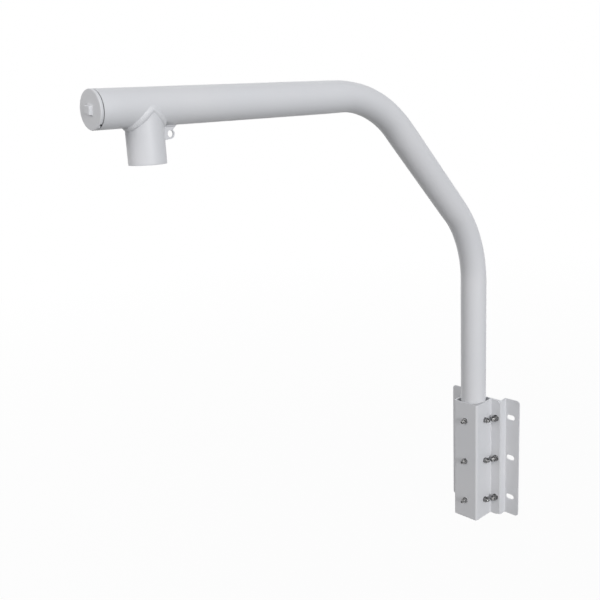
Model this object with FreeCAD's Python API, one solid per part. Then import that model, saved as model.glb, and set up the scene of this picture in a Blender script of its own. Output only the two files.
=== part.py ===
import FreeCAD, Part
import math
import os
from FreeCAD import Rotation, Vector

# Swan-neck camera bracket, in millimetres. The wall is the plane x = 0, the arm runs along -X,
# Z is up and y = 0 is the plane of symmetry. The origin is the middle of the wall plate's back.

# Gooseneck tube: level arm, diagonal and upright post, bent from one length
tube_od = 60.3
tube_wall = 3.0
bend_radius = 250.0
arm_height = 894.0
arm_reach = 963.0
diagonal_run = 340.0
diagonal_drop = 340.0
cable_hole_margin = 5.15
post_end_inset = 3.0
edge_break = 0.5

# Outlet under the arm, cut from the same tube, and the bushes that leave 47.8 mm for a G 1 1/2 thread
outlet_from_end = 84.0
outlet_drop = 87.0
bush_wall = 3.25
bush_length = 25.0
bush_chamfer = 1.5
weld_size = 4.0
weld_overrun_angle = 20.0

# End plug of the arm, with its square key and its rubber seal
flange_thickness = 5.0
flange_edge = 1.2
key_width = 13.0
key_height = 6.0
key_edge = 1.0
plug_depth = 16.0
plug_shell = 4.0
thread_gap = 0.1
seal_thickness = 1.3
seal_inset = 0.9
notch_width = 4.0
notch_depth = 3.0
notch_lip = 1.5
notch_angle = 45.0
plug_turn = 11.0

# Safety eyelet in the corner of arm and outlet
eye_hole_d = 11.0
eye_rim = 2.5
eye_out = 16.5
eye_down = 13.1
lug_thickness = 3.0
lug_arm_root = 29.5
lug_outlet_root = 23.0
lug_relief_gap = 1.5
lug_weld_size = 2.5
lug_weld_short = 2.0

# Folded sheet clamp and wall plate
plate_height = 307.0
plate_sheet = 3.0
plate_depth = 24.0
wall_flange = 38.0
plate_corner = 8.0
clamp_sheet = 3.0
clamp_corner = 12.0
fold_radius = 2.0
side_gap = 0.35
front_gap = 1.5
web_margin = 0.5
slot_width = 13.0
slot_length = 22.0
slot_from_fold = 14.5
row_from_end = 47.0
row_count = 3

# M8 fasteners
thread_m = 8.0
thread_chamfer = 1.0
hex_width = 13.0
hex_rim_inset = 0.3
hex_chamfer_angle = 30.0
nut_height = 6.5
head_height = 5.3
washer_od = 16.0
washer_thickness = 1.6
spring_od = 14.0
spring_thickness = 2.0
spring_slit = 1.2
spring_slit_angle = 30.0
hole_clearance = 0.5
washer_gap = 4.0
head_gap = 0.5
thread_beyond_nut = 8.5
front_screw_length = 20.0
side_screw_length = 16.0
socket_width = 4.0
socket_depth = 4.5

# Sizes and places that follow from the driving dimensions
tube_r = tube_od / 2
bore_r = tube_r - tube_wall
thread_r = bore_r - bush_wall
cable_hole_r = bore_r - cable_hole_margin
web_x = -plate_depth
post_x = web_x - tube_r
arm_end_x = post_x - arm_reach
outlet_x = arm_end_x + outlet_from_end
outlet_mouth_z = arm_height - outlet_drop
clamp_inner = tube_r + side_gap
clamp_side = clamp_inner + clamp_sheet
clamp_front_x = web_x - tube_od - front_gap - clamp_sheet
flange_face_x = web_x - clamp_sheet
bolt_y = clamp_side + fold_radius + washer_gap + washer_od / 2
web_half = bolt_y + hex_width / 2 + head_gap + fold_radius + plate_sheet
clamp_half = web_half - web_margin
plate_half = web_half + wall_flange
slot_y = web_half + slot_from_fold
row_pitch = (plate_height - 2 * row_from_end) / (row_count - 1)
row_heights = [row_from_end - plate_height / 2 + row_pitch * i for i in range(row_count)]

UP = Vector(0, 0, 1)
OUT = Vector(-1, 0, 0)


def cylinder(radius, length, base, direction):
    return Part.makeCylinder(radius, length, base, direction)


def block(low, high):
    """A box between two opposite corners."""
    return Part.makeBox(high.x - low.x, high.y - low.y, high.z - low.z, low)


def placed(shape, base, direction):
    """A shape drawn about +Z, turned to a direction and set on a base point."""
    copy = shape.copy()
    copy.Placement = FreeCAD.Placement(base, Rotation(UP, direction))
    return copy


def turned(outline):
    """A solid of revolution about Z from (radius, height) corners."""
    corners = [Vector(r, 0, z) for r, z in outline]
    face = Part.Face(Part.makePolygon(corners + corners[:1]))
    return face.revolve(Vector(0, 0, 0), UP, 360)


def rounded_path(corners, radius):
    """A wire through the corners, with an arc of the given radius at each inner corner."""
    edges = []
    start = corners[0]
    for before, corner, after in zip(corners, corners[1:], corners[2:]):
        way_in = (corner - before).normalize()
        way_out = (after - corner).normalize()
        turn = way_in.getAngle(way_out)
        setback = radius * math.tan(turn / 2)
        arc_start = corner - way_in * setback
        arc_end = corner + way_out * setback
        bisector = (way_out - way_in).normalize()
        middle = corner + bisector * (radius / math.cos(turn / 2) - radius)
        edges.append(Part.makeLine(start, arc_start))
        edges.append(Part.Arc(arc_start, middle, arc_end).toShape())
        start = arc_end
    edges.append(Part.makeLine(start, corners[-1]))
    return Part.Wire(edges)


def folded_sheet(corners, thickness):
    """A sheet folded along a middle line in plan, as tall as the wall plate."""
    lift = Vector(0, 0, -plate_height / 2)
    path = rounded_path([Vector(x, y, 0) + lift for x, y in corners], fold_radius + thickness / 2)
    end, following = path.Vertexes[0].Point, path.Vertexes[1].Point
    across = (following - end).normalize().cross(UP) * (thickness / 2)
    rise = Vector(0, 0, plate_height)
    section = [end - across, end + across, end + across + rise, end - across + rise]
    return path.makePipe(Part.Face(Part.makePolygon(section + section[:1])))


def rounded_corners(sheet, edge_y, radius):
    """Rounds the four outer corners of a sheet's two flanges."""
    def at_corner(edge):
        points = [v.Point for v in edge.Vertexes]
        level = abs(points[0].z - points[-1].z) < 1e-6
        outer = all(abs(abs(p.y) - edge_y) < 1e-6 for p in points)
        return level and outer
    return sheet.makeFillet(radius, [e for e in sheet.Edges if at_corner(e)])


def slot(y, z):
    """A level slot through the wall flange, with round ends."""
    depth = 3 * plate_sheet
    reach = (slot_length - slot_width) / 2
    base = Vector(-2 * plate_sheet, 0, 0)
    ends = [cylinder(slot_width / 2, depth, base + Vector(0, y + s * reach, z), -OUT) for s in (-1, 1)]
    low = base + Vector(0, y - reach, z - slot_width / 2)
    high = base + Vector(depth, y + reach, z + slot_width / 2)
    return ends[0].fuse([ends[1], block(low, high)])


def tangent_point(outside, centre, radius, side):
    """Where a line from an outside point touches a circle in the plane y = 0."""
    away = outside - centre
    angle = math.acos(radius / away.Length)
    touch = Rotation(Vector(0, 1, 0), math.degrees(side * angle)).multVec(away.normalize())
    return centre + touch * radius


def arm_solid():
    return cylinder(tube_r, 2 * tube_od, Vector(outlet_x - tube_od, 0, arm_height), Vector(1, 0, 0))


def outlet_solid():
    return cylinder(tube_r, outlet_drop, Vector(outlet_x, 0, outlet_mouth_z), UP)


def gooseneck_tube():
    corners = [
        Vector(arm_end_x, 0, arm_height),
        Vector(post_x - diagonal_run, 0, arm_height),
        Vector(post_x, 0, arm_height - diagonal_drop),
        Vector(post_x, 0, post_end_inset - plate_height / 2),
    ]
    rims = [Part.Wire(Part.makeCircle(r, corners[0], Vector(1, 0, 0))) for r in (tube_r, bore_r)]
    ring = Part.makeFace(rims, "Part::FaceMakerBullseye")
    tube = rounded_path(corners, bend_radius).makePipe(ring)

    def at_end(edge):
        centre = edge.CenterOfMass
        return min(centre.distanceToPoint(corners[0]), centre.distanceToPoint(corners[-1])) < 1e-3
    tube = tube.makeChamfer(edge_break, [e for e in tube.Edges if at_end(e)])
    return tube.cut(cylinder(cable_hole_r, tube_od, Vector(outlet_x, 0, arm_height - tube_od), UP))


def outlet_stub():
    stub = outlet_solid().cut(cylinder(bore_r, outlet_drop, Vector(outlet_x, 0, outlet_mouth_z), UP))
    rim = [e for e in stub.Edges if abs(e.CenterOfMass.z - outlet_mouth_z) < 1e-3 and e.Closed]
    return stub.makeChamfer(edge_break, rim).cut(arm_solid())


def outlet_weld():
    """A round bead along the saddle: two half ellipses that meet at the arm's sides.

    Each half is swept a little past the middle plane, trimmed there and mirrored.
    """
    centre = Vector(outlet_x, 0, arm_height)
    overrun = math.radians(90 + weld_overrun_angle)
    seam = Part.Ellipse(Vector(tube_r, 0, -tube_r) + centre, Vector(0, tube_r, 0) + centre, centre)
    half = seam.toShape(-overrun, overrun)
    ring = Part.makeCircle(weld_size, half.valueAt(half.FirstParameter), half.tangentAt(half.FirstParameter))
    bead = Part.Wire(half).makePipe(Part.Face(Part.Wire(ring)))
    reach = tube_od
    near = block(centre - Vector(0, reach, reach), centre + Vector(reach, reach, reach))
    bead = bead.common(near)
    both = bead.fuse(bead.mirror(centre, Vector(1, 0, 0)))
    return both.cut([arm_solid(), outlet_solid()]).removeSplitter()


def threaded_bush(base, direction):
    """A ring with the outlet's pipe thread size, its base at the open end."""
    far = bush_length - bush_chamfer
    outline = [
        (thread_r + bush_chamfer, 0),
        (bore_r - edge_break, 0),
        (bore_r, edge_break),
        (bore_r, bush_length),
        (thread_r + bush_chamfer, bush_length),
        (thread_r, far),
        (thread_r, bush_chamfer),
    ]
    return placed(turned(outline), base, direction)


def end_plug():
    """Screwed in until tight, which leaves its key turned. The notch lies on the key's diagonal."""
    shank_r = thread_r - thread_gap
    shank_end = -seal_thickness - plug_depth
    flange_top = flange_thickness
    outline = [
        (0, flange_top),
        (tube_r - flange_edge, flange_top),
        (tube_r, flange_top - flange_edge),
        (tube_r, 0),
        (shank_r, 0),
        (shank_r, shank_end + thread_chamfer),
        (shank_r - thread_chamfer, shank_end),
        (shank_r - plug_shell, shank_end),
        (shank_r - plug_shell, -seal_thickness),
        (0, -seal_thickness),
    ]
    half = key_width / 2
    key = block(Vector(-half, -half, 0), Vector(half, half, flange_top + key_height))
    key = key.makeFillet(key_edge, [e for e in key.Edges if e.BoundBox.ZMax > flange_top])
    notch = block(
        Vector(tube_r - notch_depth, -notch_width / 2, -edge_break),
        Vector(tube_od, notch_width / 2, flange_top - notch_lip),
    )
    plug = turned(outline).fuse(key).removeSplitter()
    seat = Vector(arm_end_x - seal_thickness, 0, arm_height)
    plug = placed(plug, seat, OUT)
    notch = placed(notch, seat, OUT)
    notch.rotate(seat, OUT, notch_angle - 180)
    plug = plug.cut(notch)
    plug.rotate(seat, OUT, -plug_turn)
    return plug


def end_plug_seal():
    inner, outer = thread_r, tube_r - seal_inset
    outline = [(inner, 0), (outer, 0), (outer, seal_thickness), (inner, seal_thickness)]
    return placed(turned(outline), Vector(arm_end_x, 0, arm_height), OUT)


def safety_eyelet():
    corner = Vector(outlet_x + tube_r, 0, arm_height - tube_r)
    hole = corner + Vector(eye_out, 0, -eye_down)
    ring_r = eye_hole_d / 2 + eye_rim
    arm_root = corner + Vector(lug_arm_root, 0, 0)
    outlet_root = corner - Vector(0, 0, lug_outlet_root)
    sink = Vector(0, 0, lug_thickness)
    outline = [
        corner + sink - Vector(lug_thickness, 0, 0),
        arm_root + sink,
        arm_root,
        tangent_point(arm_root, hole, ring_r, 1),
        hole,
        tangent_point(outlet_root, hole, ring_r, -1),
        outlet_root,
        outlet_root - Vector(lug_thickness, 0, 0),
    ]
    side = Vector(0, -lug_thickness / 2, 0)
    thickness = Vector(0, lug_thickness, 0)
    web = Part.Face(Part.makePolygon([p + side for p in outline + outline[:1]])).extrude(thickness)
    lug = web.fuse(cylinder(ring_r, lug_thickness, hole + side, thickness))
    relief_r = weld_size + lug_relief_gap
    return lug.cut([
        cylinder(eye_hole_d / 2, lug_thickness, hole + side, thickness),
        cylinder(relief_r, lug_thickness, corner + side, thickness),
        arm_solid(),
        outlet_solid(),
    ]).removeSplitter()


def eyelet_welds():
    """Small beads on both sides of the lug, along its arm root and its outlet root."""
    start = weld_size + lug_relief_gap + lug_weld_short
    along_arm = lug_arm_root - start - lug_weld_short
    along_outlet = lug_outlet_root - start - lug_weld_short
    beads = []
    for side in (-1, 1):
        root = Vector(outlet_x + tube_r, side * lug_thickness / 2, arm_height - tube_r)
        outer = block(
            root - Vector(tube_od, 0 if side > 0 else tube_od, tube_od),
            root + Vector(tube_od, tube_od if side > 0 else 0, tube_od),
        )
        across = cylinder(lug_weld_size, along_arm, root + Vector(start, 0, 0), Vector(1, 0, 0))
        down = cylinder(lug_weld_size, along_outlet, root - Vector(0, 0, start), -UP)
        beads.append(across.common(outer).cut(arm_solid()))
        beads.append(down.common(outer).cut(outlet_solid()))
    return beads


def front_clamp():
    mid = clamp_sheet / 2
    side = clamp_side - mid
    foot = web_x - mid
    crown = clamp_front_x + mid
    half = [(foot, clamp_half), (foot, side), (crown, side)]
    sheet = folded_sheet(half + [(x, -y) for x, y in reversed(half)], clamp_sheet)
    sheet = rounded_corners(sheet, clamp_half, clamp_corner)
    holes = []
    for z in row_heights:
        holes.append(cylinder(thread_m / 2, tube_r, Vector(clamp_front_x - mid, 0, z), -OUT))
        across = Vector(post_x, -tube_od, z)
        holes.append(cylinder(thread_m / 2, 2 * tube_od, across, Vector(0, 1, 0)))
        for y in (-bolt_y, bolt_y):
            base = Vector(flange_face_x - mid, y, z)
            holes.append(cylinder(thread_m / 2 + hole_clearance, 2 * clamp_sheet, base, -OUT))
    return sheet.cut(holes)


def wall_plate():
    mid = plate_sheet / 2
    side = web_half - mid
    half = [(-mid, plate_half), (-mid, side), (web_x + mid, side)]
    sheet = folded_sheet(half + [(x, -y) for x, y in reversed(half)], plate_sheet)
    sheet = rounded_corners(sheet, plate_half, plate_corner)
    holes = []
    for z in row_heights:
        for side in (-1, 1):
            holes.append(slot(side * slot_y, z))
            base = Vector(web_x - mid, side * bolt_y, z)
            holes.append(cylinder(thread_m / 2 + hole_clearance, 2 * plate_sheet, base, -OUT))
    return sheet.cut(holes)


def hexagon(width, height):
    """A hexagonal prism on z = 0 with two flats facing along its own Y."""
    corner_r = width / math.sqrt(3)
    corners = [Vector(corner_r, 0, 0)]
    corners += [Rotation(UP, 60 * i).multVec(corners[0]) for i in range(1, 6)]
    return Part.Face(Part.makePolygon(corners + corners[:1])).extrude(Vector(0, 0, height))


def chamfered_hexagon(height, lower, upper):
    """A bolt head or nut blank, with its corners turned away on the chosen ends."""
    corner_r = hex_width / math.sqrt(3)
    rim = hex_width / 2 - hex_rim_inset
    fall = (corner_r - rim) * math.tan(math.radians(hex_chamfer_angle))
    outline = [(0, 0), (rim, 0), (corner_r, fall)] if lower else [(0, 0), (corner_r, 0)]
    if upper:
        outline += [(corner_r, height - fall), (rim, height), (0, height)]
    else:
        outline += [(corner_r, height), (0, height)]
    return hexagon(hex_width, height).common(turned(outline))


def nut():
    bore = cylinder(thread_m / 2, nut_height, Vector(0, 0, 0), UP)
    return chamfered_hexagon(nut_height, True, True).cut(bore)


def washer():
    inner, outer = thread_m / 2 + hole_clearance / 2, washer_od / 2
    return turned([(inner, 0), (outer, 0), (outer, washer_thickness), (inner, washer_thickness)])


def spring_washer():
    """A ring of square wire, slit across at a slant."""
    inner, outer = thread_m / 2 + hole_clearance / 2, spring_od / 2
    ring = turned([(inner, 0), (outer, 0), (outer, spring_thickness), (inner, spring_thickness)])
    slit = block(Vector(0, -spring_slit / 2, -spring_od), Vector(spring_od, spring_slit / 2, spring_od))
    slit.rotate(Vector(0, 0, spring_thickness / 2), Vector(1, 0, 0), spring_slit_angle)
    return ring.cut(slit)


def bolt():
    """A hexagon bolt drawn upwards from its bearing face at z = 0."""
    grip = plate_sheet + clamp_sheet + washer_thickness + spring_thickness + nut_height
    length = grip + thread_beyond_nut
    shank = turned([
        (0, 0),
        (thread_m / 2, 0),
        (thread_m / 2, length - thread_chamfer),
        (thread_m / 2 - thread_chamfer, length),
        (0, length),
    ])
    head = chamfered_hexagon(head_height, True, False)
    head.translate(Vector(0, 0, -head_height))
    return shank.fuse(head)


def set_screw(length):
    """A headless screw drawn outwards from the tube, with a hexagon socket at its outer end."""
    body = turned([
        (0, 0),
        (thread_m / 2 - thread_chamfer, 0),
        (thread_m / 2, thread_chamfer),
        (thread_m / 2, length - thread_chamfer),
        (thread_m / 2 - thread_chamfer, length),
        (0, length),
    ])
    socket = hexagon(socket_width, socket_depth)
    socket.translate(Vector(0, 0, length - socket_depth))
    return body.cut(socket)


def front_row(shape, x):
    return [placed(shape, Vector(x, 0, z), OUT) for z in row_heights]


def side_rows(shape, y):
    """Copies on both sides of the post, pointing outwards."""
    return [placed(shape, Vector(post_x, s * y, z), Vector(0, s, 0)) for z in row_heights for s in (-1, 1)]


def clamp_rows(shape, x):
    return [placed(shape, Vector(x, s * bolt_y, z), OUT) for z in row_heights for s in (-1, 1)]


washer_face_x = flange_face_x - washer_thickness
spring_face_x = washer_face_x - spring_thickness

nodes = {
    "gooseneck_tube": gooseneck_tube(),
    "outlet_stub": outlet_stub(),
    "outlet_weld": outlet_weld(),
    "outlet_bush": threaded_bush(Vector(outlet_x, 0, outlet_mouth_z), UP),
    "arm_end_bush": threaded_bush(Vector(arm_end_x, 0, arm_height), -OUT),
    "end_plug": end_plug(),
    "end_plug_seal": end_plug_seal(),
    "safety_eyelet": safety_eyelet(),
    "eyelet_welds": eyelet_welds(),
    "front_clamp": front_clamp(),
    "wall_plate": wall_plate(),
    "front_set_screws": front_row(set_screw(front_screw_length), post_x - tube_r),
    "side_set_screws": side_rows(set_screw(side_screw_length), tube_r),
    "front_lock_nuts": front_row(nut(), clamp_front_x),
    "side_lock_nuts": side_rows(nut(), clamp_side),
    "clamp_bolts": clamp_rows(bolt(), web_x + plate_sheet),
    "clamp_washers": clamp_rows(washer(), flange_face_x),
    "clamp_spring_washers": clamp_rows(spring_washer(), washer_face_x),
    "clamp_nuts": clamp_rows(nut(), spring_face_x),
}

os.makedirs("parts", exist_ok=True)
for name, shape in nodes.items():
    solid = Part.makeCompound(shape) if isinstance(shape, list) else shape
    solid.exportStep(f"parts/{name}.step")
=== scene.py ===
import math

import bmesh
import bpy
import numpy as np
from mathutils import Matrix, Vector
from mathutils.geometry import tessellate_polygon


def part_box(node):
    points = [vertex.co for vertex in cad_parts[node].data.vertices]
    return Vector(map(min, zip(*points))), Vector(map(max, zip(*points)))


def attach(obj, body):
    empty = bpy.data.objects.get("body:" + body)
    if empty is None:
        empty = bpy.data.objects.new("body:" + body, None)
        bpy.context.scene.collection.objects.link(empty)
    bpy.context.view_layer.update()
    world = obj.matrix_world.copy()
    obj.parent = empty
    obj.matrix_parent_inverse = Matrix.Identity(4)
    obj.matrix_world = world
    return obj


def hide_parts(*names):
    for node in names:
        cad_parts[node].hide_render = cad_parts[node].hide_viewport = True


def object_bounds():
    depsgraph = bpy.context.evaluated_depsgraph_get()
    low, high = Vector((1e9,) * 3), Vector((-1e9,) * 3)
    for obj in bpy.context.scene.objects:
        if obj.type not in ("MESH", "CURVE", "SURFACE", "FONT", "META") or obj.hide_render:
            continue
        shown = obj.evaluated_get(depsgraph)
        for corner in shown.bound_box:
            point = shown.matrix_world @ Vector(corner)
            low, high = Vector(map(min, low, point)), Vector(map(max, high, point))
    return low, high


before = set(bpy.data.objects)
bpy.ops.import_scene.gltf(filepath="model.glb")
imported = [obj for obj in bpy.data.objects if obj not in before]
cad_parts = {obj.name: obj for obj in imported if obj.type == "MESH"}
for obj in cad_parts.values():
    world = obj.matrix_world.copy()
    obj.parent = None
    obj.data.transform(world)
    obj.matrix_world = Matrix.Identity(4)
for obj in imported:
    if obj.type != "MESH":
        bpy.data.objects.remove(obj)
cad_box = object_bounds()

# The gooseneck is one length of 2 inch steel pipe, bent cold in two turns of 45 degrees on a
# former about four pipe diameters in radius, with its cut ends dressed. A hole in the underside
# of the arm lets the camera's cable down into the outlet. All of it is powder coated off-white.
tube_r = 0.0603 / 2
tube_wall = 0.003
bore_r = tube_r - tube_wall
bend_radius = 0.25
bend_turn = math.radians(45)
bend_length = bend_radius * bend_turn
diagonal_run = 0.34
rim_edge = 0.0005
cable_hole_r = 0.022
hole_columns = 96
tube_columns = 128
rows_per_bend = 60
rows_per_straight = 16
bend_flattening = 0.05
bend_ease = 0.06

tube_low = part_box("gooseneck_tube")[0]
stub_low, stub_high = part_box("outlet_stub")
web_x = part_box("wall_plate")[0].x
arm_end_x = tube_low.x
arm_z = stub_high.z
post_x = web_x - tube_r
setback = bend_radius * math.tan(bend_turn / 2)
tube_straights = [
    post_x - diagonal_run - setback - arm_end_x,
    diagonal_run * math.sqrt(2) - 2 * setback,
    arm_z - diagonal_run - setback - tube_low.z,
]


def bent_line(stations, straights, turns, radius, heading=0.0):
    """Points and headings at distances along straights that are joined by arcs.

    A straight adds its direction times the length run on it so far. An arc to the left adds radius
    times the change in (sin, -cos) of the heading, and an arc to the right takes it off. Both are
    clipped to their own stretch of the line.
    """
    point = np.zeros((len(stations), 2))
    facing = np.full(len(stations), heading)
    start = 0.0
    for straight, turn in zip(straights, [*turns, 0.0]):
        run = np.clip(stations - start, 0, straight)[:, None]
        point += run * [math.cos(heading), math.sin(heading)]
        start += straight
        side = np.sign(turn)
        swing = side * np.clip(stations - start, 0, radius * abs(turn)) / radius
        turned = np.column_stack([np.sin(heading + swing), -np.cos(heading + swing)])
        point += side * radius * (turned - [math.sin(heading), -math.cos(heading)])
        facing += swing
        start += radius * abs(turn)
        heading += turn
    return point, facing


def rounded_section(low, high, edge, steps=4):
    """The four quarter rounds of radius edge of a rectangle, anticlockwise from its lower right.

    A round about its own centre is edge * (cos(angle), sin(angle)), from a whole number of quarter
    turns to the next. The sides are the straight lines from each round to the one after it.
    """
    (left, bottom), (right, top) = low, high
    corners = [(right, bottom, 3), (right, top, 0), (left, top, 1), (left, bottom, 2)]
    rounds = []
    for x, y, quarters in corners:
        angle = (quarters + np.linspace(0, 1, steps + 1)) * math.pi / 2
        centre = np.clip([x, y], np.add(low, edge), np.subtract(high, edge))
        rounds.append(centre + edge * np.column_stack([np.cos(angle), np.sin(angle)]))
    return rounds


def grid_faces(grid, ring_rows):
    """Corner numbers of the faces between neighbouring points of a grid.

    Each row closes into a ring, and with ring_rows the last row also joins the first. The faces
    are turned round where the volume that they enclose, a sixth of the sum of
    a . (b x c) + a . (c x d), comes out negative.
    """
    rows, columns = grid.shape[:2]
    corner = np.arange(rows * columns).reshape(rows, columns)
    below = np.roll(corner, -1, axis=0)
    beside, across = np.roll(corner, -1, axis=1), np.roll(below, -1, axis=1)
    faces = np.stack([corner, beside, across, below], axis=2)
    faces = (faces if ring_rows else faces[:-1]).reshape(-1, 4)
    local = (grid - grid.mean(axis=(0, 1))).reshape(-1, 3)
    a, b, c, d = (local[faces[:, k]] for k in range(4))
    volume = np.sum(a * np.cross(b, c) + a * np.cross(c, d)) / 6
    return faces if volume > 0 else faces[:, ::-1]


def shade(mesh, sharp=40):
    """Smooth shading, with edges steeper than sharp degrees kept crisp."""
    mesh.shade_smooth()
    mesh.set_sharp_from_angle(angle=math.radians(sharp))


def make_piece(name, points, faces, sharp=40):
    """A smooth mesh object with poles merged and edges steeper than sharp degrees kept crisp."""
    mesh = bpy.data.meshes.new(name)
    mesh.from_pydata(points.tolist(), [], faces)
    work = bmesh.new()
    work.from_mesh(mesh)
    bmesh.ops.remove_doubles(work, verts=work.verts, dist=1e-6)
    work.to_mesh(mesh)
    work.free()
    shade(mesh, sharp)
    thing = bpy.data.objects.new(name, mesh)
    bpy.context.scene.collection.objects.link(thing)
    return thing


def grid_piece(name, grids, ring_rows=False, sharp=40):
    """One piece from closed grids of points, each rows by columns."""
    points = np.concatenate([grid.reshape(-1, 3) for grid in grids])
    starts = np.cumsum([0] + [grid.shape[0] * grid.shape[1] for grid in grids])
    faces = np.concatenate([grid_faces(g, ring_rows) + s for g, s in zip(grids, starts)])
    return make_piece(name, points, faces.tolist(), sharp)


def coat_and_place(thing, material, slot, *nodes):
    """Gives a piece its material, lets it ride on the bracket and stand for its nodes."""
    thing.data.materials.clear()
    thing.data.materials.append(material)
    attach(thing, "root")
    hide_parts(*nodes)


def noise(tree, scale, detail=2.0):
    """A noise pattern fixed to the piece, with about scale waves in a metre."""
    place = tree.nodes.new("ShaderNodeTexCoord")
    pattern = tree.nodes.new("ShaderNodeTexNoise")
    pattern.inputs["Scale"].default_value = scale
    pattern.inputs["Detail"].default_value = detail
    tree.links.new(place.outputs["Object"], pattern.inputs["Vector"])
    return pattern.outputs["Fac"]


def spread(tree, value, low, high, start=0.3, end=0.7):
    """Maps a pattern from start..end to low..high."""
    mapped = tree.nodes.new("ShaderNodeMapRange")
    for key, number in zip(("From Min", "From Max", "To Min", "To Max"), (start, end, low, high)):
        mapped.inputs[key].default_value = number
    tree.links.new(value, mapped.inputs["Value"])
    return mapped.outputs["Result"]


def between(tree, value, first, second):
    """Goes from one colour to another with a pattern."""
    mixed = tree.nodes.new("ShaderNodeMix")
    mixed.data_type = "RGBA"
    mixed.inputs["A"].default_value = (*first, 1)
    mixed.inputs["B"].default_value = (*second, 1)
    tree.links.new(value, mixed.inputs["Factor"])
    return mixed.outputs["Result"]


def relief(tree, heights):
    """Stacks bumps of (pattern, height in metres) into one normal."""
    normal = None
    for pattern, height in heights:
        bump = tree.nodes.new("ShaderNodeBump")
        bump.inputs["Distance"].default_value = height
        tree.links.new(pattern, bump.inputs["Height"])
        if normal:
            tree.links.new(normal, bump.inputs["Normal"])
        normal = bump.outputs["Normal"]
    return normal


def surface_finish(name, tones, gloss, bumps, metallic=0.0, specular=0.33):
    """A material from patterns on the piece, each with its waves in a metre.

    tones are (waves, colour, colour), gloss is (waves, roughness, roughness) and bumps are
    (waves, height in metres).
    """
    material = bpy.data.materials.new(name)
    material.use_nodes = True
    tree = material.node_tree
    shader = tree.nodes["Principled BSDF"]
    shader.inputs["Metallic"].default_value = metallic
    shader.inputs["Specular IOR Level"].default_value = specular
    waves, first, second = tones
    drift = spread(tree, noise(tree, waves), 0, 1)
    tree.links.new(between(tree, drift, first, second), shader.inputs["Base Color"])
    waves, low, high = gloss
    tree.links.new(spread(tree, noise(tree, waves), low, high), shader.inputs["Roughness"])
    heights = [(noise(tree, waves), height) for waves, height in bumps]
    tree.links.new(relief(tree, heights), shader.inputs["Normal"])
    return material


def powder_coat(name, peel=0.00005):
    """Off-white powder coat: a faint drift of tone, a satin gloss that varies, and orange peel."""
    return surface_finish(
        name,
        tones=(5, (0.67, 0.68, 0.7), (0.695, 0.7, 0.715)),
        gloss=(60, 0.36, 0.46),
        bumps=[(420, peel), (90, peel / 2)],
    )


def tube_grid():
    """The wall's section (distance along, distance from the centre line), carried round the pipe.

    Ring i lies about the bent centre line at its distance, square to the heading there:
    point = centre + radius * (cos(turn) * up + sin(turn) * y). The bending has flattened the pipe:
    up shrinks by a share that eases in and out over bend_ease, a third of it outside the bend,
    with the square of a sine.
    """
    first, second, third = tube_straights
    stops = np.cumsum([0, first, bend_length, second, bend_length, third])
    length = stops[-1]
    stops[[0, -1]] = rim_edge, length - rim_edge
    rows = [rows_per_straight, rows_per_bend] * 2 + [rows_per_straight]
    inside = [np.linspace(a, b, n + 1)[1:] for a, b, n in zip(stops, stops[1:], rows)]
    run = np.concatenate(inside)[:-1]
    far_in, far_out, near_out, near_in = rounded_section((0, bore_r), (length, tube_r), rim_edge)
    wall = [
        far_in,
        far_out,
        np.column_stack([run[::-1], np.full(len(run), tube_r)]),
        near_out,
        near_in,
        np.column_stack([run, np.full(len(run), bore_r)]),
    ]
    station, radius = np.concatenate(wall).T
    centre, heading = bent_line(station, tube_straights, [-bend_turn, -bend_turn], bend_radius)
    turn = np.linspace(0, 2 * math.pi, tube_columns, endpoint=False)
    squeeze = np.zeros(len(station))
    for start in (stops[1], stops[3]):
        inward = np.minimum(station - start, start + bend_length - station) + bend_ease / 3
        squeeze += np.sin(math.pi / 2 * np.clip(inward / bend_ease, 0, 1)) ** 2
    lift = radius[:, None] * np.cos(turn) * (1 - bend_flattening * squeeze)[:, None]
    x = arm_end_x + centre[:, :1] - np.sin(heading)[:, None] * lift
    z = arm_z + centre[:, 1:] + np.cos(heading)[:, None] * lift
    return np.stack([x, radius[:, None] * np.sin(turn), z], axis=2)


def drill(thing, grid):
    """Cuts the space inside a closed grid of points out of a piece."""
    cutter = grid_piece("drill", [grid])
    cut = thing.modifiers.new("drill", "BOOLEAN")
    cut.object = cutter
    cut.operation = "DIFFERENCE"
    cut.solver = "EXACT"
    depsgraph = bpy.context.evaluated_depsgraph_get()
    drilled = bpy.data.meshes.new_from_object(thing.evaluated_get(depsgraph))
    thing.modifiers.clear()
    thing.data = drilled
    bpy.data.objects.remove(cutter)


def cable_hole_grid():
    """A closed drum about the outlet's upright axis, from well under the arm up to its middle."""
    turn = np.linspace(0, 2 * math.pi, hole_columns, endpoint=False)
    radius = np.array([0, cable_hole_r, cable_hole_r, 0])[:, None]
    height = arm_z - np.array([2 * tube_r, 2 * tube_r, 0, 0])[:, None]
    x, y = outlet_x + radius * np.cos(turn), radius * np.sin(turn)
    return np.stack(np.broadcast_arrays(x, y, height), axis=2)


outlet_x = (stub_low.x + stub_high.x) / 2
gooseneck = grid_piece("gooseneck", [tube_grid()], ring_rows=True)
drill(gooseneck, cable_hole_grid())
tube_coat = powder_coat("tube powder coat")
coat_and_place(gooseneck, tube_coat, "painted_tube", "gooseneck_tube")

# The outlet is a short piece of the same pipe. Its upper end is coped to the arm's round side and
# welded there, and its lower end is square, where a camera's pipe thread comes in from below.
mouth_z = stub_low.z
stub_rows = 20


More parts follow.
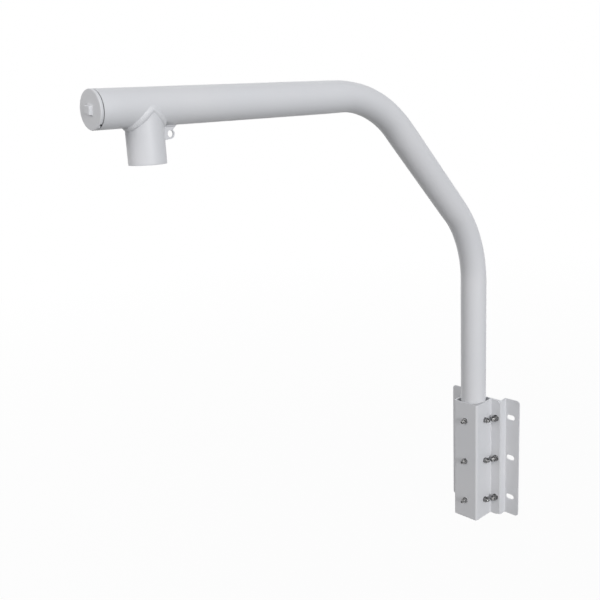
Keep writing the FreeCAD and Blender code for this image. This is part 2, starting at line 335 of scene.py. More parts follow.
def stub_grid():
    """The coped wall: round the pipe, from the mouth up to the saddle.

    The saddle over a point at turn t on radius r is at arm_z - sqrt(tube_r^2 - (r sin t)^2).
    """
    turn = np.linspace(0, 2 * math.pi, tube_columns, endpoint=False)
    share = np.linspace(0, 1, stub_rows + 1)[1:, None]
    bottom = mouth_z + rim_edge
    walls = []
    for radius in (bore_r, tube_r):
        saddle = arm_z - np.sqrt(tube_r**2 - (radius * np.sin(turn)) ** 2)
        height = bottom + share * (saddle - bottom)
        walls.append(np.stack([np.full(height.shape, radius), height]))
    outer_low, _, _, inner_low = rounded_section((bore_r, mouth_z), (tube_r, arm_z), rim_edge)
    rims = [np.repeat(part.T[:, :, None], tube_columns, axis=2) for part in (inner_low, outer_low)]
    radius, z = np.concatenate([rims[0], rims[1], walls[1], walls[0][:, ::-1]], axis=1)
    return np.stack([outlet_x + radius * np.cos(turn), radius * np.sin(turn), z], axis=2)


stub = grid_piece("outlet_pipe", [stub_grid()], ring_rows=True)
coat_and_place(stub, tube_coat, "painted_tube", "outlet_stub")

# The saddle weld is one run of filler wire laid by hand round the outlet. Each puddle froze as a
# low crescent, and the powder coat has rounded them off. It fills the corner under the arm, most
# on the side of the arm's end, and rides over the arm's sides as a flat band with a crest.
weld_leg = 0.0051
weld_leg_drift = 0.0003
weld_corner_bulge = 0.0006
weld_side_bulge = 0.0016
weld_root = 0.0004
saddle_crest = 0.1
face_skew = 3.4
puddle_pitch = 0.003
puddle_rise = 0.055
face_points = 18
rows_per_puddle = 10
seam_points = 4000


def onto(points, axis, radius):
    """Points moved square to the arm's axis (0) or the outlet's (2) to a radius from it."""
    centre = np.array([outlet_x, 0, arm_z])
    centre[axis] = 0
    across = points - centre
    across[..., axis] = 0
    moved = centre + across * (radius / np.linalg.norm(across, axis=-1, keepdims=True))
    moved[..., axis] = points[..., axis]
    return moved


def puddles_along(rows, share):
    """How a bead swells in each puddle: puddle_rise * sin(pi p)^2.

    The place in the puddle, p, lags by (2 share - 1)^2 / 2, which is half a puddle at the edges.
    """
    place = np.arange(rows)[:, None] / rows_per_puddle - (2 * share - 1) ** 2 / 2
    return puddle_rise * np.sin(math.pi * (place % 1.0)) ** 2


def saddle_path(turn):
    """The seam at radius tube_r round the outlet, whose crests at the arm's sides are rounded off.

    It lies below the arm's axis by tube_r * sqrt(cos(turn)^2 + saddle_crest^2).
    """
    fall = tube_r * np.sqrt(np.cos(turn) ** 2 + saddle_crest**2)
    return np.column_stack([outlet_x + tube_r * np.cos(turn), tube_r * np.sin(turn), arm_z - fall])


def saddle_grid(turn):
    """Sections square to the seam, from the arm's toe over the bulging face to the outlet's toe.

    Each toe is one leg from the seam, along the surface that it lies on. A face point at share s is
    arm_toe * (1 - s) + outlet_toe * s, and stands out by bulge * (2 + face_skew * s) * s * (1 - s).
    The bulge grows from the corner to the sides with the cosine between the two surfaces. The
    puddles add leg * swell * 4 s (1 - s), and the root runs back just under both surfaces.
    """
    seam = saddle_path(turn)
    ahead = np.roll(seam, -1, axis=0) - np.roll(seam, 1, axis=0)
    ahead /= np.linalg.norm(ahead, axis=1, keepdims=True)
    outlet_out = np.column_stack([np.cos(turn), np.sin(turn), np.zeros(len(turn))])
    arm_out = np.column_stack([np.zeros(len(turn)), np.sin(turn), -np.abs(np.cos(turn))])
    leg = (weld_leg - weld_leg_drift * np.cos(turn))[:, None]
    arm_toe = onto(seam - leg * np.cross(ahead, arm_out), 0, tube_r)
    outlet_toe = onto(seam + leg * np.cross(ahead, outlet_out), 2, tube_r)
    closeness = np.sum(arm_out * outlet_out, axis=1)[:, None]
    bulge = weld_corner_bulge + (weld_side_bulge - weld_corner_bulge) * closeness
    lean = arm_out + outlet_out
    lean /= np.linalg.norm(lean, axis=1, keepdims=True)
    share = np.linspace(0, 1, face_points)
    swell = puddles_along(len(turn), share)
    rise = (bulge * (2 + face_skew * share) + leg * swell * 4) * share * (1 - share)
    s = share[None, :, None]
    face = arm_toe[:, None] * (1 - s) + outlet_toe[:, None] * s + rise[:, :, None] * lean[:, None]
    under = tube_r - weld_root
    root = [onto(outlet_toe, 2, under), seam - weld_root * lean, onto(arm_toe, 0, under)]
    return np.concatenate([face, np.stack(root, axis=1)], axis=1)


fine_turn = np.linspace(0, 2 * math.pi, seam_points)
fine_steps = np.linalg.norm(np.diff(saddle_path(fine_turn), axis=0), axis=1)
fine_run = np.concatenate([[0], np.cumsum(fine_steps)])
puddles = round(fine_run[-1] / puddle_pitch)
even_run = np.linspace(0, fine_run[-1], puddles * rows_per_puddle, endpoint=False)
even_turn = np.interp(even_run, fine_run, fine_turn)
saddle = grid_piece("saddle_weld", [saddle_grid(even_turn)], ring_rows=True)
weld_coat = powder_coat("weld powder coat", peel=0.0001)
coat_and_place(saddle, weld_coat, "painted_weld", "outlet_weld")

# The outlet bush is a turned steel ring, zinc plated and pressed flush into the outlet's mouth,
# with a G 1 1/2 thread of 11 turns to the inch. The arm's open end holds the same ring.
thread_r = 0.0239
pipe_pitch = 0.0254 / 11
pipe_thread_depth = 0.00148
pipe_thread_flat = 0.15
bush_chamfer = 0.0015
rows_per_thread = 10
bush_low, bush_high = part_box("outlet_bush")


def thread_cut(height, turn, pitch, depth, flat):
    """How far a right-hand thread is cut in: a straight-sided wave, with its crests and roots flat.

    The phase is height / pitch - turn / (2 pi). The cut is depth times |2 phase - 1|, stretched
    about its middle so that a share called flat is cut off at both ends.
    """
    phase = (height / pitch - turn / (2 * math.pi)) % 1.0
    return depth * np.clip((np.abs(2 * phase - 1) - flat) / (1 - 2 * flat), 0, 1)


def rings(columns, *blocks):
    """Points of a turned piece, from blocks of (radius, height) that may vary by row and turn."""
    turn = np.linspace(0, 2 * math.pi, columns, endpoint=False)
    rows = []
    for block in blocks:
        radius, height, _ = np.broadcast_arrays(*block, turn[None, :])
        rows.append(np.stack([radius * np.cos(turn), radius * np.sin(turn), height], axis=2))
    return np.concatenate(rows)


def column(values):
    """Values down the rows of a block."""
    return np.asarray(values, float)[:, None]


def bush_grid():
    """The ring's rounded outside, and the thread cut outwards from its crests inside."""
    length = bush_high.z - bush_low.z
    turn = np.linspace(0, 2 * math.pi, tube_columns, endpoint=False)
    height = column(np.linspace(0, length, int(length / pipe_pitch * rows_per_thread)))
    crest_r = thread_r - pipe_thread_depth
    bore = crest_r + thread_cut(height, turn, pipe_pitch, pipe_thread_depth, pipe_thread_flat)
    flare = thread_r + bush_chamfer - np.minimum(height, length - height)
    bore = np.maximum(bore, flare)
    outer_low, outer_high, _, _ = rounded_section((thread_r, 0), (bore_r, length), rim_edge)
    return rings(
        tube_columns,
        (column(outer_low[:, 0]), column(outer_low[:, 1])),
        (column(outer_high[:, 0]), column(outer_high[:, 1])),
        (bore[::-1], height[::-1]),
    )


def turned_zinc(name):
    """Bright zinc on turned steel, with a cloudy bluish drift and fine tool marks."""
    return surface_finish(
        name,
        tones=(60, (0.52, 0.54, 0.56), (0.66, 0.66, 0.64)),
        gloss=(300, 0.24, 0.4),
        bumps=[(2500, 0.00002), (400, 0.00001)],
        metallic=1.0,
    )


zinc = turned_zinc("turned zinc")
bush = grid_piece("outlet_threaded_bush", [bush_grid() + [outlet_x, 0, mouth_z]], ring_rows=True)
coat_and_place(bush, zinc, "zinc_bush", "outlet_bush")


def refinish(node, material):
    """Puts a material in the slots of a node that keeps its shape."""
    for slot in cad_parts[node].material_slots:
        slot.material = material


refinish("arm_end_bush", zinc)

# The end plug is a cast and turned cap that screws into the arm's end. Its flange closes the pipe
# to the outside of the wall, a square key on its face takes the spanner, and a small pry notch is
# cut into its rim. A thin black rubber ring under the flange seals it.
key_half = 0.0068
key_height = 0.006
key_edge = 0.0012
key_foot = 0.0018
key_squareness = 14
flange_thickness = 0.005
flange_edge = 0.0014
flange_back_edge = 0.0004
plug_columns = 360
face_rings = 8
side_rings = 4
notch_half = 0.0034
notch_depth = 0.0025
notch_turn = math.radians(-49)
plug_turn = math.radians(11)
seal_thickness = 0.0013
shank_gap = 0.0001
shank_r = thread_r - shank_gap
shank_end = -0.0173


def quarter(radius, height, edge, start, steps=5):
    """Rows of a quarter round of size edge about (radius, height), from start in quarter turns."""
    angle = (start + np.linspace(0, 1, steps + 1)) * math.pi / 2
    return column(radius + edge * np.cos(angle)), column(height + edge * np.sin(angle))


def plug_grid():
    """Rings from the middle of the key out over the flange and down the hidden shank.

    On the key a ring is the square |x|^n + |y|^n = size^n, and it eases into a circle over the
    face. The notch takes its depth off the rim within notch_half of notch_turn.
    """
    turn = np.linspace(0, 2 * math.pi, plug_columns, endpoint=False)
    n = key_squareness
    square = (np.abs(np.cos(turn)) ** n + np.abs(np.sin(turn)) ** n) ** (-1 / n)
    face = flange_thickness
    top = face + key_height
    foot_r, foot_z = quarter(key_half + key_foot, face + key_foot, key_foot, 2)
    key_r, key_z = quarter(key_half - key_edge, top - key_edge, key_edge, 0)
    spread_r = np.linspace(key_half + key_foot, tube_r - flange_edge, face_rings + 1)
    spread_r = column(spread_r[1:])
    ease = (spread_r - spread_r[0]) / (spread_r[-1] - spread_r[0])
    rim_r, rim_z = quarter(tube_r - flange_edge, face - flange_edge, flange_edge, 0)
    side_z = column(np.linspace(face - flange_edge, flange_back_edge, side_rings + 1)[:-1])
    back_r, back_z = quarter(tube_r - flange_back_edge, flange_back_edge, flange_back_edge, 3)
    off = np.abs((turn - notch_turn + math.pi) % (2 * math.pi) - math.pi) * tube_r
    cut = notch_depth * (off < notch_half)
    return rings(
        plug_columns,
        (0, top),
        (key_half / 2 * square, top),
        (key_r[::-1] * square, key_z[::-1]),
        (foot_r * square, foot_z),
        (spread_r * (square + (1 - square) * ease), face),
        (rim_r[::-1], rim_z[::-1]),
        (tube_r - cut, side_z),
        (back_r[::-1] - cut, back_z[::-1]),
        (shank_r, 0),
        (shank_r, shank_end),
        (0, shank_end),
    )


plug_seat = np.array([arm_end_x - seal_thickness, 0, arm_z])
x, y, out = np.moveaxis(plug_grid(), 2, 0)
c, s = math.cos(plug_turn), math.sin(plug_turn)
turned = np.stack([-out, s * x + c * y, s * y - c * x], axis=2)
plug = grid_piece("keyed_end_plug", [plug_seat + turned], sharp=50)
coat_and_place(plug, powder_coat("plug powder coat", peel=0.00004), "painted_plug", "end_plug")

rubber = surface_finish(
    "seal rubber",
    tones=(200, (0.012, 0.012, 0.013), (0.03, 0.03, 0.031)),
    gloss=(300, 0.55, 0.75),
    bumps=[(1500, 0.00003)],
)
refinish("end_plug_seal", rubber)

# The safety eyelet is a lug cut from 3 mm sheet, set on edge in the corner of arm and outlet. Its
# inner corner is cut away round the saddle weld, and a camera's safety wire hooks into its hole.
lug_half = 0.0015
lug_arm_root = 0.0295
lug_outlet_root = 0.023
eye_out = 0.0165
eye_down = 0.0131
eye_r = 0.0055
eye_ring_r = eye_r + 0.0025
lug_relief_r = 0.0055
lug_neck_angle = 50
lug_sink = 0.0004
lug_edge = 0.0004
rim_steps = 4
fillet_steps = 16
eye_steps = 48
corner_point = np.array([outlet_x + tube_r, arm_z - tube_r])


def arc(centre, radius, start, end, steps):
    """Points on an arc between two angles in degrees."""
    angle = np.radians(np.linspace(start, end, steps + 1))
    return np.asarray(centre) + radius * np.column_stack([np.cos(angle), np.sin(angle)])


def inset(loop, distance):
    """A closed loop moved sideways to its left, its corners mitred.

    A corner moves by distance * (l + b) / (1 + l . b), where l and b point left of its two sides.
    """
    along = np.roll(loop, -1, axis=0) - loop
    along /= np.linalg.norm(along, axis=1, keepdims=True)
    left = np.column_stack([-along[:, 1], along[:, 0]])
    before = np.roll(left, 1, axis=0)
    return loop + distance * (left + before) / (1 + np.sum(left * before, axis=1, keepdims=True))


def cut_sheet(outline, holes, thickness, edge):
    """Points and faces of a flat sheet with rounded rims.

    The outline is anticlockwise and the holes are clockwise. Every loop is carried over a rim of
    two quarter rounds, and the two broad faces are filled between the loops nearest to them.
    """
    angle = np.linspace(0, math.pi / 2, rim_steps + 1)
    moved = edge * (1 - np.sin(angle))
    rise = edge * (1 - np.cos(angle))
    rows = [*zip(moved, rise), *zip(moved[::-1], thickness - rise[::-1])]
    points, faces, bottoms, tops = [], [], [], []
    start = 0
    for loop in [outline, *holes]:
        for aside, height in rows:
            level = np.full(len(loop), height - thickness / 2)
            points.append(np.column_stack([inset(loop, aside), level]))
        ids = start + np.arange(len(rows) * len(loop)).reshape(len(rows), len(loop))
        start += ids.size
        following = np.roll(ids, -1, axis=1)
        rim = np.stack([ids[:-1], following[:-1], following[1:], ids[1:]], axis=2)
        faces += rim.reshape(-1, 4).tolist()
        bottoms.append(ids[0])
        tops.append(ids[-1])
    points = np.concatenate(points)
    for loops, upwards in ((bottoms, False), (tops, True)):
        filled = tessellate_polygon([points[loop].tolist() for loop in loops])
        corners = np.concatenate(loops)[np.array(filled)]
        (ax, ay), (bx, by), (cx, cy) = points[corners, :2].transpose(1, 2, 0)
        turns_left = (bx - ax) * (cy - ay) > (by - ay) * (cx - ax)
        right_way = (turns_left == upwards)[:, None]
        faces += np.where(right_way, corners, corners[:, ::-1]).tolist()
    return points, faces


def even_shading(thing):
    """Lets broad flat faces set the shading, so that only the rims look round."""
    thing.modifiers.new("even shading", "WEIGHTED_NORMAL").keep_sharp = True


def lug_outline():
    """The lug's rim, anticlockwise: round the ring to the neck, along the arm and down the outlet.

    It reaches the ring on the tangent from the foot of the outlet's root. Seen from the ring's
    middle, that point lies acos(ring radius / distance of the foot) on from the foot.
    """
    ring = np.array([eye_out, -eye_down])
    away = np.array([-lug_sink, -lug_outlet_root]) - ring
    start = math.degrees(math.atan2(away[1], away[0]) + math.acos(eye_ring_r / np.hypot(*away)))
    relief = math.degrees(math.asin(lug_sink / lug_relief_r))
    outline = np.concatenate([
        arc(ring, eye_ring_r, start, lug_neck_angle, eye_steps),
        [(lug_arm_root, 0), (lug_arm_root, lug_sink)],
        arc((0, 0), lug_relief_r, relief, -90 - relief, fillet_steps),
        [(-lug_sink, -lug_outlet_root), (0, -lug_outlet_root)],
    ])
    return corner_point + outline


eye = arc(corner_point + [eye_out, -eye_down], eye_r, 0, -360, eye_steps)[:-1]
points, faces = cut_sheet(lug_outline(), [eye], 2 * lug_half, lug_edge)
lug = make_piece("safety_lug", np.column_stack([points[:, 0], -points[:, 2], points[:, 1]]), faces)
even_shading(lug)
sheet_coat = powder_coat("sheet powder coat")
coat_and_place(lug, sheet_coat, "painted_sheet", "safety_eyelet")

# Four short beads of the same filler wire fix the lug, on each of its sides one along the arm and
# one along the outlet. They stop short of the relief and of the lug's ends.
lug_bead_r = 0.0025
lug_bead_start = lug_relief_r + 0.002
lug_bead_short = 0.002
bead_columns = 28


def lug_bead(along, lean, length):
    """A straight bead with rounded ends: point = along * run + size * (cos(turn), sin(turn)).

    size is lug_bead_r, and within that distance of an end it falls to nothing on a quarter circle.
    """
    run = np.arange(0, length, puddle_pitch / rows_per_puddle)
    run *= length / run[-1]
    from_end = np.minimum(run, length - run)
    size = np.sqrt(lug_bead_r**2 - (lug_bead_r - np.minimum(from_end, lug_bead_r)) ** 2)
    turn = np.linspace(0, 2 * math.pi, bead_columns, endpoint=False)
    swell = 1 - puddle_rise + puddles_along(len(run), 0.5 + 0.5 * np.sin(turn / 2))
    lean = np.array(lean, float) / np.linalg.norm(lean)
    round_it = np.cos(turn)[:, None] * lean + np.sin(turn)[:, None] * np.cross(along, lean)
    path = np.outer(lug_bead_start + run, along)
    return path[:, None] + (size[:, None] * swell)[:, :, None] * round_it


beads = []
for side in (-1, 1):
    root = [corner_point[0], side * lug_half, corner_point[1]]
    arm_length = lug_arm_root - lug_bead_start - lug_bead_short
    outlet_length = lug_outlet_root - lug_bead_start - lug_bead_short
    beads.append(root + lug_bead((1, 0, 0), (0, side, -1), arm_length))
    beads.append(root + lug_bead((0, 0, -1), (1, side, 0), outlet_length))
lug_beads = grid_piece("lug_welds", beads)
coat_and_place(lug_beads, weld_coat, "painted_weld", "eyelet_welds")

# The wall plate is folded from one 3 mm steel blank in four bends, so that two flanges meet the
# wall and a web stands off it. Six level slots take the wall anchors, six round holes the bolts.
sheet = 0.003
fold_mid_r = 0.0035
sheet_edge = 0.0005
fold_steps = 8
corner_steps = 12
hole_steps = 16
plate_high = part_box("wall_plate")[1]
plate_corner = 0.008
slot_half_width = 0.0065
slot_half_length = 0.011
slot_y = 0.074
bolt_y = 0.0475
bolt_hole_r = 0.0045
row_heights = [-0.1065, 0.0, 0.1065]
right_angle = math.pi / 2


def hat(foot, leg, crown):
    """Straights of a hat section, from its middle lines' lengths between sharp corners.

    Each fold takes one middle radius off both straights that it joins.
    """
    foot, leg, crown = foot - fold_mid_r, leg - 2 * fold_mid_r, crown - 2 * fold_mid_r
    return [foot, leg, crown, leg, foot]


def blank_length(straights):
    """The flat length: the straights and four quarter circles of the folds' middle radius."""
    return sum(straights) + 4 * fold_mid_r * right_angle


def blank_outline(length, half_height, corner):
    """The blank's outline with its four corners rounded, anticlockwise."""
    near, far, high = corner, length - corner, half_height - corner
    middles = [(near, -high), (far, -high), (far, high), (near, high)]
    starts = [-180, -90, 0, 90]
    rounds = [arc(m, corner, a, a + 90, corner_steps) for m, a in zip(middles, starts)]
    return np.concatenate(rounds)


def round_hole(u, v, radius):
    """A round hole, clockwise."""
    return arc((u, v), radius, 90, -270, 2 * hole_steps)[:-1]


def slot_hole(u, v, half_length, radius):
    """A level slot with round ends, clockwise."""
    reach = half_length - radius
    far_end = arc((u + reach, v), radius, 90, -90, hole_steps)
    near_end = arc((u - reach, v), radius, -90, -270, hole_steps)
    return np.concatenate([far_end, near_end])


def folded_piece(name, straights, turns, start, outline, holes):
    """Cuts the blank, divides it at the folds and lays it along the folded middle line in plan.

    A blank point (u, v, w) goes to the middle line's point at distance u, moved by w to the right
    of the heading there, and to the height v.
    """
    points, faces = cut_sheet(outline, holes, sheet, sheet_edge)
    thing = make_piece(name, points, faces)
    work = bmesh.new()
    work.from_mesh(thing.data)
    along = Vector((1, 0, 0))
    reach = 0.0
    for straight, turn in zip(straights, turns):
        reach += straight
        bend = fold_mid_r * abs(turn)
        for station in np.linspace(reach, reach + bend, fold_steps + 1):
            geometry = [*work.verts, *work.edges, *work.faces]
            place = along * station
            bmesh.ops.bisect_plane(work, geom=geometry, dist=1e-7, plane_co=place, plane_no=along)
        reach += bend
    work.to_mesh(thing.data)
    work.free()
    flat = np.empty(3 * len(thing.data.vertices))
    thing.data.vertices.foreach_get("co", flat)
    u, v, w = flat.reshape(-1, 3).T
    middle, heading = bent_line(u, straights, turns, fold_mid_r, -right_angle)
    x = start[0] + middle[:, 0] + w * np.sin(heading)
    y = start[1] + middle[:, 1] - w * np.cos(heading)
    thing.data.vertices.foreach_set("co", np.column_stack([x, y, v]).ravel())
    thing.data.update()
    shade(thing.data)
    even_shading(thing)
    return thing


hat_turns = [-right_angle, right_angle, right_angle, -right_angle]
plate_half = plate_high.y
half_height = plate_high.z
wall_side = 0.058
wall_straights = hat(plate_half - wall_side, -web_x - sheet, 2 * wall_side)
wall_length = blank_length(wall_straights)
wall_holes = []
for z in row_heights:
    for side in (-1, 1):
        slot_u = wall_length / 2 + side * (wall_length / 2 - plate_half + slot_y)
        wall_holes.append(slot_hole(slot_u, z, slot_half_length, slot_half_width))
        wall_holes.append(round_hole(wall_length / 2 + side * bolt_y, z, bolt_hole_r))
plate = folded_piece(
    "folded_wall_plate",
    wall_straights,
    hat_turns,
    (-sheet / 2, plate_half),
    blank_outline(wall_length, half_height, plate_corner),
    wall_holes,
)
coat_and_place(plate, sheet_coat, "painted_sheet", "wall_plate")

# The front clamp is the same kind of hat in the same sheet, deeper and narrower. It goes over the
# post, and its two flanges are bolted to the web. Nine holes for the set screws and six for the
# bolts are drilled before it is folded.
clamp_low, clamp_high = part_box("front_clamp")
clamp_corner = 0.012
clamp_side = 0.032
clamp_half = clamp_high.y
clamp_foot_x = web_x - sheet / 2
screw_hole_r = 0.004
clamp_depth = clamp_foot_x - clamp_low.x - sheet / 2
clamp_straights = hat(clamp_half - clamp_side, clamp_depth, 2 * clamp_side)
clamp_length = blank_length(clamp_straights)
fold_to_post = clamp_foot_x - fold_mid_r - post_x
side_hole_u = clamp_straights[0] + fold_mid_r * right_angle + fold_to_post
clamp_holes = []
for z in row_heights:
    for u in (clamp_length / 2, side_hole_u, clamp_length - side_hole_u):
        clamp_holes.append(round_hole(u, z, screw_hole_r))
    for u in (clamp_half - bolt_y, clamp_length - clamp_half + bolt_y):
        clamp_holes.append(round_hole(u, z, bolt_hole_r))
clamp = folded_piece(
    "folded_front_clamp",
    clamp_straights,
    hat_turns,
    (clamp_foot_x, clamp_half),
    blank_outline(clamp_length, half_height, clamp_corner),
    clamp_holes,
)
coat_and_place(clamp, sheet_coat, "painted_sheet", "front_clamp")

# The set screws are headless M8 screws in stainless steel, with rolled threads, a cup point and a
# 4 mm hexagon socket. Three push the post back on the web from the front, and three on each side
# keep it in the middle.
thread_m_r = 0.004
screw_pitch = 0.00125
screw_thread_depth = 0.00077
screw_thread_flat = 0.1
end_chamfer = 0.001
cup_depth = 0.0008
cup_r = 0.0018
cup_rim_r = 0.0026
cup_rim_fall = 0.0001
socket_half = 0.002
socket_depth = 0.0045
socket_sink = 0.0002
socket_cone = 0.0005
screw_columns = 72
front_screw_length = 0.020
side_screw_length = 0.016
screw_turn = np.linspace(0, 2 * math.pi, screw_columns, endpoint=False)


def hexagon(half_width):
    """Radius of a hexagon at each turn: half_width / cos(angle from the nearest flat's middle)."""
    return half_width / np.cos(screw_turn % (math.pi / 3) - math.pi / 6)


def thread_rows(low, high, tip_low):
    """A rolled thread between two heights, cut by a 45 degree cone at its top.

    Where asked, its foot is cut in the same way.
    """
    height = column(np.linspace(low, high, int((high - low) / screw_pitch * rows_per_thread)))
    cut = thread_cut(height, screw_turn, screw_pitch, screw_thread_depth, screw_thread_flat)
    radius = thread_m_r - cut
    radius = np.minimum(radius, thread_m_r - end_chamfer + high - height)
    if tip_low:
        radius = np.minimum(radius, thread_m_r - end_chamfer + height - low)
    return radius, height


def set_screw(length):
    """Cup point, thread, and a socket with a drilled bottom, drawn outwards from the tube."""
    socket = hexagon(socket_half)
    bottom = length - socket_depth
    return rings(
        screw_columns,
        (0, cup_depth),
        (cup_r, cup_rim_fall),
        (cup_rim_r, 0),
        thread_rows(0, length, tip_low=True),
        (socket + socket_sink, length),
        (socket, length - socket_sink),
        (socket, bottom),
        (0, bottom - socket_cone),
    )


def aimed(grid, base, out, spin=0.0):
    """A grid drawn about its third axis, spun by degrees, faced outwards and moved to its base."""
    out = np.array(out, float)
    right = np.array([0.0, 0.0, 1.0] if out[0] else [1.0, 0.0, 0.0])
    side = np.cross(out, right)
    c, s = math.cos(math.radians(spin)), math.sin(math.radians(spin))
    x, y, z = np.moveaxis(grid, 2, 0)[..., None]
    return np.asarray(base) + (c * x - s * y) * right + (s * x + c * y) * side + z * out


def steel_with_painted_reflections(name):
    """Satin stainless steel whose colour is painted reflection: random patches from near black to
    mid grey stand in for the dark surroundings that it mirrors.
    """
    return surface_finish(
        name,
        # The near-black tone is painted dark reflection, far darker than the steel's own colour.
        tones=(240, (0.05, 0.05, 0.052), (0.42, 0.42, 0.42)),
        gloss=(500, 0.22, 0.42),
        bumps=[(3000, 0.00001)],
        metallic=1.0,
    )


# All fasteners share this steel, with dark reflections painted into its colour.
stainless = steel_with_painted_reflections("stainless steel")
forward = (-1, 0, 0)
front_screws = [
    aimed(set_screw(front_screw_length), (post_x - tube_r, 0, z), forward, spin)
    for z, spin in zip(row_heights, (8, 41, 23))
]
screws = grid_piece("front_grub_screws", front_screws)
coat_and_place(screws, stainless, "stainless_fasteners", "front_set_screws")
side_screws = [
    aimed(set_screw(side_screw_length), (post_x, side * tube_r, z), (0, side, 0), spin + 13 * side)
    for z, spin in zip(row_heights, (33, 5, 52))
    for side in (-1, 1)
]
screws = grid_piece("side_grub_screws", side_screws)
coat_and_place(screws, stainless, "stainless_fasteners", "side_set_screws")

# Each set screw is held by an M8 hexagon nut of the same steel, 13 mm across flats, run down on
# the clamp's face. Each has stopped at an angle of its own.
nut_half = 0.0065
nut_height = 0.0065
nut_rim = 0.0062
nut_slope = math.tan(math.radians(30))
nut_bore_r = 0.00332
nut_mouth = 0.0002
nut_bevel = 0.00015
nut_sharp = 25


def nut():
    """A hexagon with a countersunk bore, whose corners are turned away at both ends.

    The turned cone falls by (radius - nut_rim) * tan(30 degrees).
    """
    outside = hexagon(nut_half)
    fall = (outside - nut_rim) * nut_slope
    mouth_r = thread_m_r + nut_mouth
    sink = mouth_r - nut_bore_r
    return rings(
        screw_columns,
        (mouth_r, 0),
        (nut_rim, 0),
        (outside, fall),
        (outside, nut_height - fall),
        (nut_rim, nut_height),
        (mouth_r, nut_height),
        (nut_bore_r, nut_height - sink),
        (nut_bore_r, sink),
    )


def set_of_nuts(name, nuts, node):
    """One piece from like nuts, the keenness taken off their edges."""
    thing = grid_piece(name, nuts, ring_rows=True, sharp=nut_sharp)
    bevel = thing.modifiers.new("edge", "BEVEL")
    bevel.width = nut_bevel
    bevel.segments = 2
    bevel.limit_method = "ANGLE"
    bevel.angle_limit = math.radians(nut_sharp)
    bevel.harden_normals = True
    coat_and_place(thing, stainless, "stainless_fasteners", node)


clamp_face_x = clamp_low.x
front_nuts = [
    aimed(nut(), (clamp_face_x, 0, z), forward, spin)
    for z, spin in zip(row_heights, (17, 48, 31))
]
set_of_nuts("front_nuts", front_nuts, "front_lock_nuts")
clamp_outside = clamp_side + sheet / 2
side_nuts = [
    aimed(nut(), (post_x, side * clamp_outside, z), (0, side, 0), spin + 19 * side)
    for z, spin in zip(row_heights, (3, 38, 54))
    for side in (-1, 1)
]
set_of_nuts("side_nuts", side_nuts, "side_lock_nuts")

# The clamp bolts are M8 hexagon bolts put through the web from behind, with a flat close to the
# wall plate's side so that they can't turn. Plain washers, spring washers and nuts draw them up.
head_height = 0.0053
bearing_x = web_x + sheet
bolt_length = bearing_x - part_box("clamp_bolts")[0].x
bolt_sharp = 28


def bolt():
    """A head turned away like a nut at its outer end, then the thread from its bearing face on."""
    outside = hexagon(nut_half)
    fall = (outside - nut_rim) * nut_slope
    return rings(
        screw_columns,
        (0, -head_height),
        (nut_rim, -head_height),
        (outside, fall - head_height),
        (outside, 0),
        thread_rows(0, bolt_length, tip_low=False),
        (0, bolt_length),
    )


bolts = [
    aimed(bolt(), (bearing_x, side * bolt_y, z), forward)
    for z in row_heights
    for side in (-1, 1)
]
bolt_set = grid_piece("hexagon_bolts", bolts, sharp=bolt_sharp)
coat_and_place(bolt_set, stainless, "stainless_fasteners", "clamp_bolts")
refinish("clamp_washers", stainless)
refinish("clamp_spring_washers", stainless)
nut_seat_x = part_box("clamp_spring_washers")[0].x
clamp_nuts = [
    aimed(nut(), (nut_seat_x, side * bolt_y, z), forward, spin - 23 * side)
    for z, spin in zip(row_heights, (26, 49, 11))
    for side in (-1, 1)
]
set_of_nuts("clamp_hexagon_nuts", clamp_nuts, "clamp_nuts")

# The bracket stands on a plain pale floor under soft studio light from the front, the left and
# behind. Seen directly or in a reflection, floor and world are white, and the floor keeps a part of
# the shadow near the bracket.
floor_reach = 12.0
floor_grey = 0.24
near_white = 0.97
white_from = 0.6
white_at = 3.4
sky_colour = (0.93, 0.96, 1, 1)
sky_strength = 0.32
middle = (-0.4, 0, 0.4)
floor_z = cad_box[0][2]


def seen(tree):
    """1 for rays from the camera, a gloss or a glass, and 0 for light that only bounces."""
    path = tree.nodes.new("ShaderNodeLightPath")
    total = path.outputs["Is Camera Ray"]
    for kind in ("Is Glossy Ray", "Is Transmission Ray"):
        both = tree.nodes.new("ShaderNodeMath")
        both.operation = "MAXIMUM"
        tree.links.new(total, both.inputs[0])
        tree.links.new(path.outputs[kind], both.inputs[1])
        total = both.outputs["Value"]
    return total


floor_mesh = bpy.data.meshes.new("floor")
signs = np.array([(-1, -1), (1, -1), (1, 1), (-1, 1)])
floor_corners = np.column_stack([floor_reach * signs, np.full(4, floor_z)])
floor_mesh.from_pydata(floor_corners.tolist(), [], [(0, 1, 2, 3)])
floor = bpy.data.objects.new("floor", floor_mesh)
bpy.context.scene.collection.objects.link(floor)
floor_paint = bpy.data.materials.new("pale floor")
floor_paint.use_nodes = True
tree = floor_paint.node_tree
matt = tree.nodes["Principled BSDF"]
matt.inputs["Base Color"].default_value = (floor_grey, floor_grey, floor_grey, 1)
matt.inputs["Roughness"].default_value = 0.9
matt.inputs["Specular IOR Level"].default_value = 0.0
white = tree.nodes.new("ShaderNodeEmission")
place = tree.nodes.new("ShaderNodeTexCoord")
distance = tree.nodes.new("ShaderNodeVectorMath")
distance.operation = "LENGTH"
tree.links.new(place.outputs["Object"], distance.inputs[0])
share = spread(tree, distance.outputs["Value"], near_white, 1, white_from, white_at)
shown = tree.nodes.new("ShaderNodeMath")
shown.operation = "MULTIPLY"
tree.links.new(share, shown.inputs[0])
tree.links.new(seen(tree), shown.inputs[1])
mixed = tree.nodes.new("ShaderNodeMixShader")
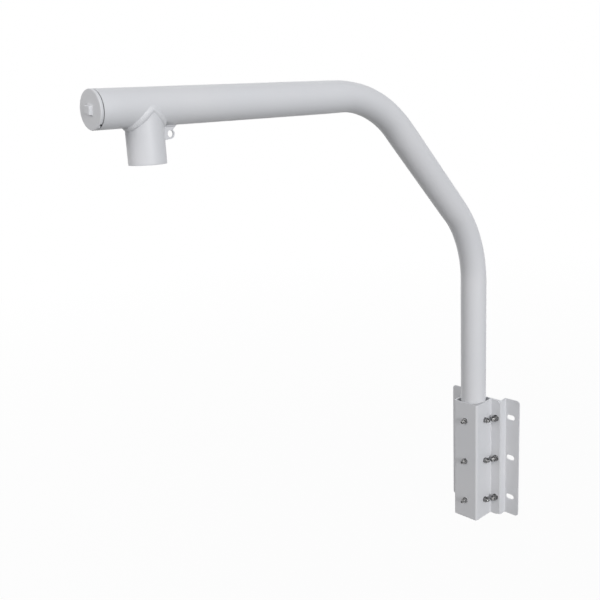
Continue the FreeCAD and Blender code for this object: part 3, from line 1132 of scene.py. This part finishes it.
tree.links.new(shown.outputs["Value"], mixed.inputs[0])
tree.links.new(matt.outputs["BSDF"], mixed.inputs[1])
tree.links.new(white.outputs["Emission"], mixed.inputs[2])
tree.links.new(mixed.outputs["Shader"], tree.nodes["Material Output"].inputs["Surface"])
floor_mesh.materials.append(floor_paint)

world = bpy.data.worlds.new("studio")
bpy.context.scene.world = world
world.use_nodes = True
tree = world.node_tree
sky = tree.nodes["Background"]
sky.inputs["Color"].default_value = sky_colour
sky.inputs["Strength"].default_value = sky_strength
paper = tree.nodes.new("ShaderNodeBackground")
paper.inputs["Color"].default_value = (1, 1, 1, 1)
mixed = tree.nodes.new("ShaderNodeMixShader")
tree.links.new(seen(tree), mixed.inputs[0])
tree.links.new(sky.outputs["Background"], mixed.inputs[1])
tree.links.new(paper.outputs["Background"], mixed.inputs[2])
tree.links.new(mixed.outputs["Shader"], tree.nodes["World Output"].inputs["Surface"])


def soft_box(name, place, power, size, colour, glints=True):
    """A square area lamp that faces the bracket. Without glints, nothing mirrors it."""
    lamp = bpy.data.lights.new(name, "AREA")
    lamp.energy = power
    lamp.size = size
    lamp.color = colour
    thing = bpy.data.objects.new(name, lamp)
    thing.location = place
    thing.rotation_euler = (Vector(middle) - Vector(place)).to_track_quat("-Z", "Y").to_euler()
    thing.visible_glossy = glints
    bpy.context.scene.collection.objects.link(thing)


soft_box("key", (-2.0, -8.3, 2.45), power=470, size=4.2, colour=(0.985, 0.985, 1))
soft_box("side", (-8.5, -0.8, 4.0), power=236, size=4.8, colour=(1, 0.965, 0.945))
soft_box("back", (5.4, 8.4, 4.2), power=860, size=11.0, colour=(1, 1, 1), glints=False)

lens = bpy.data.cameras.new("camera")
lens.sensor_width = 36
lens.lens = 48.932
camera = bpy.data.objects.new("camera", lens)
camera.location = (-1.6501, -1.0943, 0.8964)
camera.rotation_euler = np.radians([76.041, 2.868, -43.897])
bpy.context.scene.collection.objects.link(camera)
bpy.context.scene.camera = camera
bpy.context.scene.view_settings.view_transform = "Standard"
